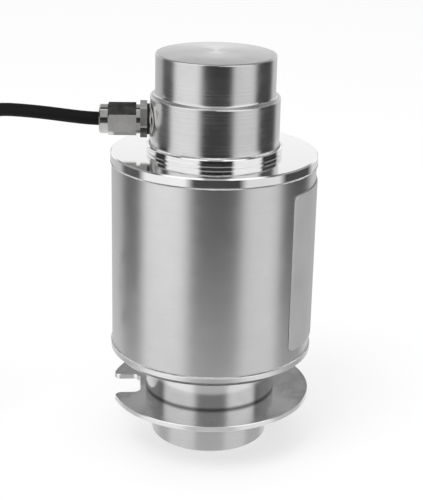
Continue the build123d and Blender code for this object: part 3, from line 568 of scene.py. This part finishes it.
def makeHubCrown(facts):
    steps, sides = facts["steps"], facts["sides"]
    edge = facts["radius"] - facts["root"]
    mesh = bpy.data.meshes.new("hub_crown")
    points, faces = [], []
    for step in range(steps + 1):
        share = step / steps
        radius = edge + (facts["bulge"] + facts["root"]) * math.sin(math.pi * share)
        height = facts["bottom"] + (facts["top"] - facts["bottom"]) * share
        for side in range(sides):
            angle = 2 * math.pi * side / sides
            points.append((radius * math.cos(angle), radius * math.sin(angle), height))
    for step in range(steps):
        for side in range(sides):
            here, after = step * sides + side, step * sides + (side + 1) % sides
            faces.append((here, after, after + sides, here + sides))
    mesh.from_pydata(points, [], faces)
    mesh.polygons.foreach_set("use_smooth", [True] * len(faces))
    mesh.materials.append(materials["polished_steel"])
    crown = bpy.data.objects.new("hub_crown", mesh)
    bpy.context.scene.collection.objects.link(crown)
    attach(crown, bodyName)


makeHubCrown(hubCrown)
print("hub crowned")


# Weld seams: overlapping ripples set round each joint. A bead rises and reaches a little past the
# joint's corner, and its ripples follow each other by the pitch.
weldSeams = {
    "hub_weld": {
        "radius": 0.02368, "height": hubTop + 0.00002, "width": 0.0010, "rise": 0.00042, "pitch": 0.00062},
    "top_seam_weld": {
        "radius": tubeRadius - 0.00002, "height": tubeTop + 0.00005, "width": 0.0007, "rise": 0.00045,
        "pitch": 0.00058},
    "bottom_seam_weld": {
        "radius": tubeRadius - 0.00002, "height": tubeBottom - 0.00005, "width": 0.0007, "rise": 0.00045,
        "pitch": 0.00058},
    "neck_weld": {
        "radius": 0.02484, "height": coverBottom - 0.00004, "width": 0.0009, "rise": 0.00040,
        "pitch": 0.00060},
}
weldRipple = {"segments": 8, "rings": 6, "smallest": 0.88, "largest": 1.12, "seed": 7}


def weldTree(shape):
    tree = bpy.data.node_groups.new("weld_ripples", "GeometryNodeTree")
    sockets = {
        "Radius": "NodeSocketFloat", "Height": "NodeSocketFloat", "Width": "NodeSocketFloat",
        "Rise": "NodeSocketFloat", "Ripples": "NodeSocketInt", "Seed": "NodeSocketInt",
        "Finish": "NodeSocketMaterial"}
    for label, kind in sockets.items():
        tree.interface.new_socket(label, in_out="INPUT", socket_type=kind)
    tree.interface.new_socket("Geometry", in_out="OUTPUT", socket_type="NodeSocketGeometry")
    given = addNode(tree, "NodeGroupInput")
    ring = addNode(tree, "GeometryNodeMeshCircle", links={
        "Vertices": (given, "Ripples"), "Radius": (given, "Radius")})
    lift = addNode(tree, "ShaderNodeCombineXYZ", links={2: (given, "Height")})
    placed = addNode(tree, "GeometryNodeTransform", links={0: (ring, 0), "Translation": (lift, 0)})
    where = addNode(tree, "GeometryNodeInputPosition")
    axes = addNode(tree, "ShaderNodeSeparateXYZ", links={0: (where, 0)})
    angle = addNode(tree, "ShaderNodeMath", {"operation": "ARCTAN2"}, {0: (axes, 1), 1: (axes, 0)})
    turn = addNode(tree, "ShaderNodeCombineXYZ", links={2: (angle, 0)})
    ripple = addNode(tree, "GeometryNodeMeshUVSphere", {
        "Segments": shape["segments"], "Rings": shape["rings"], "Radius": 0.5})
    size = addNode(tree, "ShaderNodeCombineXYZ", links={
        0: (given, "Rise"), 1: (given, "Width"), 2: (given, "Width")})
    change = addNode(tree, "FunctionNodeRandomValue", {
        "data_type": "FLOAT", 2: shape["smallest"], 3: shape["largest"]}, {"Seed": (given, "Seed")})
    scale = addNode(tree, "ShaderNodeVectorMath", {"operation": "SCALE"}, {
        0: (size, 0), "Scale": (change, 1)})
    laid = addNode(tree, "GeometryNodeInstanceOnPoints", links={
        "Points": (placed, 0), "Instance": (ripple, 0), "Rotation": (turn, 0), "Scale": (scale, 0)})
    real = addNode(tree, "GeometryNodeRealizeInstances", links={0: (laid, 0)})
    done = addNode(tree, "GeometryNodeSetMaterial", links={0: (real, 0), "Material": (given, "Finish")})
    addNode(tree, "NodeGroupOutput", links={0: (done, 0)})
    return tree


def growPiece(name, tree, inputs):
    # Runs a node tree on an empty mesh and keeps the plain mesh that it makes.
    seed = bpy.data.objects.new(name + "_seed", bpy.data.meshes.new(name + "_seed"))
    bpy.context.scene.collection.objects.link(seed)
    grow = seed.modifiers.new("grow", "NODES")
    grow.node_group = tree
    sockets = {item.name: item.identifier for item in tree.interface.items_tree if item.in_out == "INPUT"}
    for label, value in inputs.items():
        grow[sockets[label]] = value
    made = bpy.data.meshes.new_from_object(seed.evaluated_get(bpy.context.evaluated_depsgraph_get()))
    seed.modifiers.clear()
    bpy.data.objects.remove(seed)
    piece = bpy.data.objects.new(name, made)
    bpy.context.scene.collection.objects.link(piece)
    return piece


def layWelds(seams, shape):
    ripples = weldTree(shape)
    for seamName, seam in seams.items():
        count = int(2 * math.pi * seam["radius"] / seam["pitch"])
        bead = growPiece(seamName, ripples, {
            "Radius": seam["radius"], "Height": seam["height"], "Width": seam["width"],
            "Rise": 2 * seam["rise"], "Ripples": count, "Seed": shape["seed"],
            "Finish": materials["weld_bead"]})
        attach(bead, bodyName)


layWelds(weldSeams, weldRipple)
print("weld seams laid:", len(weldSeams))


# The cable's route: out of the gland, over and down to the floor, into the coil's outer turn,
# by the same points as the solid's.
cableFacts = {
    "diameter": 0.0050,
    "exitRadius": 0.0419,
    "glandAzimuth": 183.0,
    "glandHeight": 0.1247,
    "route": [
        (-0.04594, -0.00241, 0.1247), (-0.0660, 0.0020, 0.1259), (-0.0840, 0.0090, 0.1249),
        (-0.0980, 0.0150, 0.1153), (-0.1075, 0.0135, 0.0980), (-0.1105, 0.0020, 0.0700),
        (-0.1120, -0.0132, 0.0445), (-0.1158, -0.0236, 0.0251), (-0.1222, -0.0300, 0.0142),
        (-0.1307, -0.0342, 0.0075), (-0.1410, -0.0365, 0.0041), (-0.1520, -0.0366, 0.0040),
        (-0.1640, -0.0367, 0.00385),
    ],
    "length": 9.6,
}

# The put-away coil, wound in flat layers one diameter apart.
coilFacts = {
    "centre": (-0.176, 0.018),
    "startAzimuth": 270.0,      # where the route runs into it
    "midRadius": 0.0423,
    "bottom": 0.0038,           # centre of the lowest layer
    "across": 6,
    "layers": 6,
    "shiftTurns": 0.1,          # share of a turn in which the cable steps to the next place
    "pointsPerTurn": 20,
    "tailHeight": 0.0344,       # the last stretch lies on top, in the middle of the turns
    "tailLead": 0.02,           # shares of a turn in which it leaves the outer lane
    "tailShift": 0.10,
    "tailSweep": 60.0,          # degrees that it goes on for
}


def coilPoints(facts, diameter):
    # The turns step sideways at one place of the circle and climb just before it, and each layer
    # does both a little earlier than the one below, so that no turn runs through another.
    shift = facts["shiftTurns"]
    across = facts["across"]
    lanes, heights = [(0.0, across - 1.0)], [(0.0, 0.0)]
    start = 0.0
    for layer in range(facts["layers"]):
        inward = layer % 2 == 0
        lane = across - 1.0 if inward else 0.0
        step = -1.0 if inward else 1.0
        for turn in range(across - 1):
            begin = start + 1 - 2 * shift + turn
            lanes += [(begin, lane), (begin + shift, lane + step)]
            lane += step
        end = start + across - 2 * shift
        heights += [(end - shift, float(layer)), (end, layer + 1.0)]
        start = end

    def level(knots, t):
        # the value after t turns, eased between knots of turns and value
        for (t0, v0), (t1, v1) in zip(knots, knots[1:]):
            if t < t1:
                share = max(0.0, (t - t0) / (t1 - t0))
                return v0 + (v1 - v0) * share * share * (3 - 2 * share)
        return knots[-1][1]

    lift = (facts["tailHeight"] - facts["bottom"]) / diameter
    heights[-1] = (heights[-1][0], lift)
    tailFrom = start + facts["tailShift"]
    lanes += [(start - facts["tailLead"], across - 1.0), (tailFrom, (across - 1) / 2)]
    total = tailFrom + facts["tailSweep"] / 360
    growth = 1 / math.cos(math.pi / facts["pointsPerTurn"])     # control points stand outside the turn
    points = []
    for index in range(1, int(total * facts["pointsPerTurn"]) + 1):
        t = index / facts["pointsPerTurn"]
        angle = math.radians(facts["startAzimuth"] - 360 * t)
        lane = level(lanes, t) - (across - 1) / 2
        radius = (facts["midRadius"] + lane * diameter) * growth
        z = facts["bottom"] + level(heights, t) * diameter
        points.append((facts["centre"][0] + radius * math.cos(angle),
                       facts["centre"][1] + radius * math.sin(angle), z))
    endAzimuth = (facts["startAzimuth"] - 360 * total) % 360
    print("coil turns", round(total, 2), "end azimuth", round(endAzimuth, 1))
    return points


def makeCable(facts, coil):
    azimuth = math.radians(facts["glandAzimuth"])

    def onGlandAxis(distance):
        return (distance * math.cos(azimuth), distance * math.sin(azimuth), facts["glandHeight"])

    points = [onGlandAxis(facts["exitRadius"])] + facts["route"] + coilPoints(coil, facts["diameter"])
    curve = bpy.data.curves.new("cable", "CURVE")
    curve.dimensions = "3D"
    spline = curve.splines.new("NURBS")
    spline.points.add(len(points) - 1)
    for point, place in zip(spline.points, points):
        point.co = (*place, 1.0)
    spline.order_u = 3
    spline.use_endpoint_u = True
    spline.resolution_u = 5
    curve.bevel_depth = facts["diameter"] / 2
    curve.bevel_resolution = 4
    curve.use_fill_caps = True
    cable = bpy.data.objects.new("cable_run", curve)
    bpy.context.scene.collection.objects.link(cable)
    curve.materials.append(materials["cable_sheath"])
    cable.visible_glossy = False     # the metal mirrors the studio, not the coil that is put away
    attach(cable, bodyName)
    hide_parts("cable", "cable_coil", "cable_tail")


makeCable(cableFacts, coilFacts)
print("cable laid")
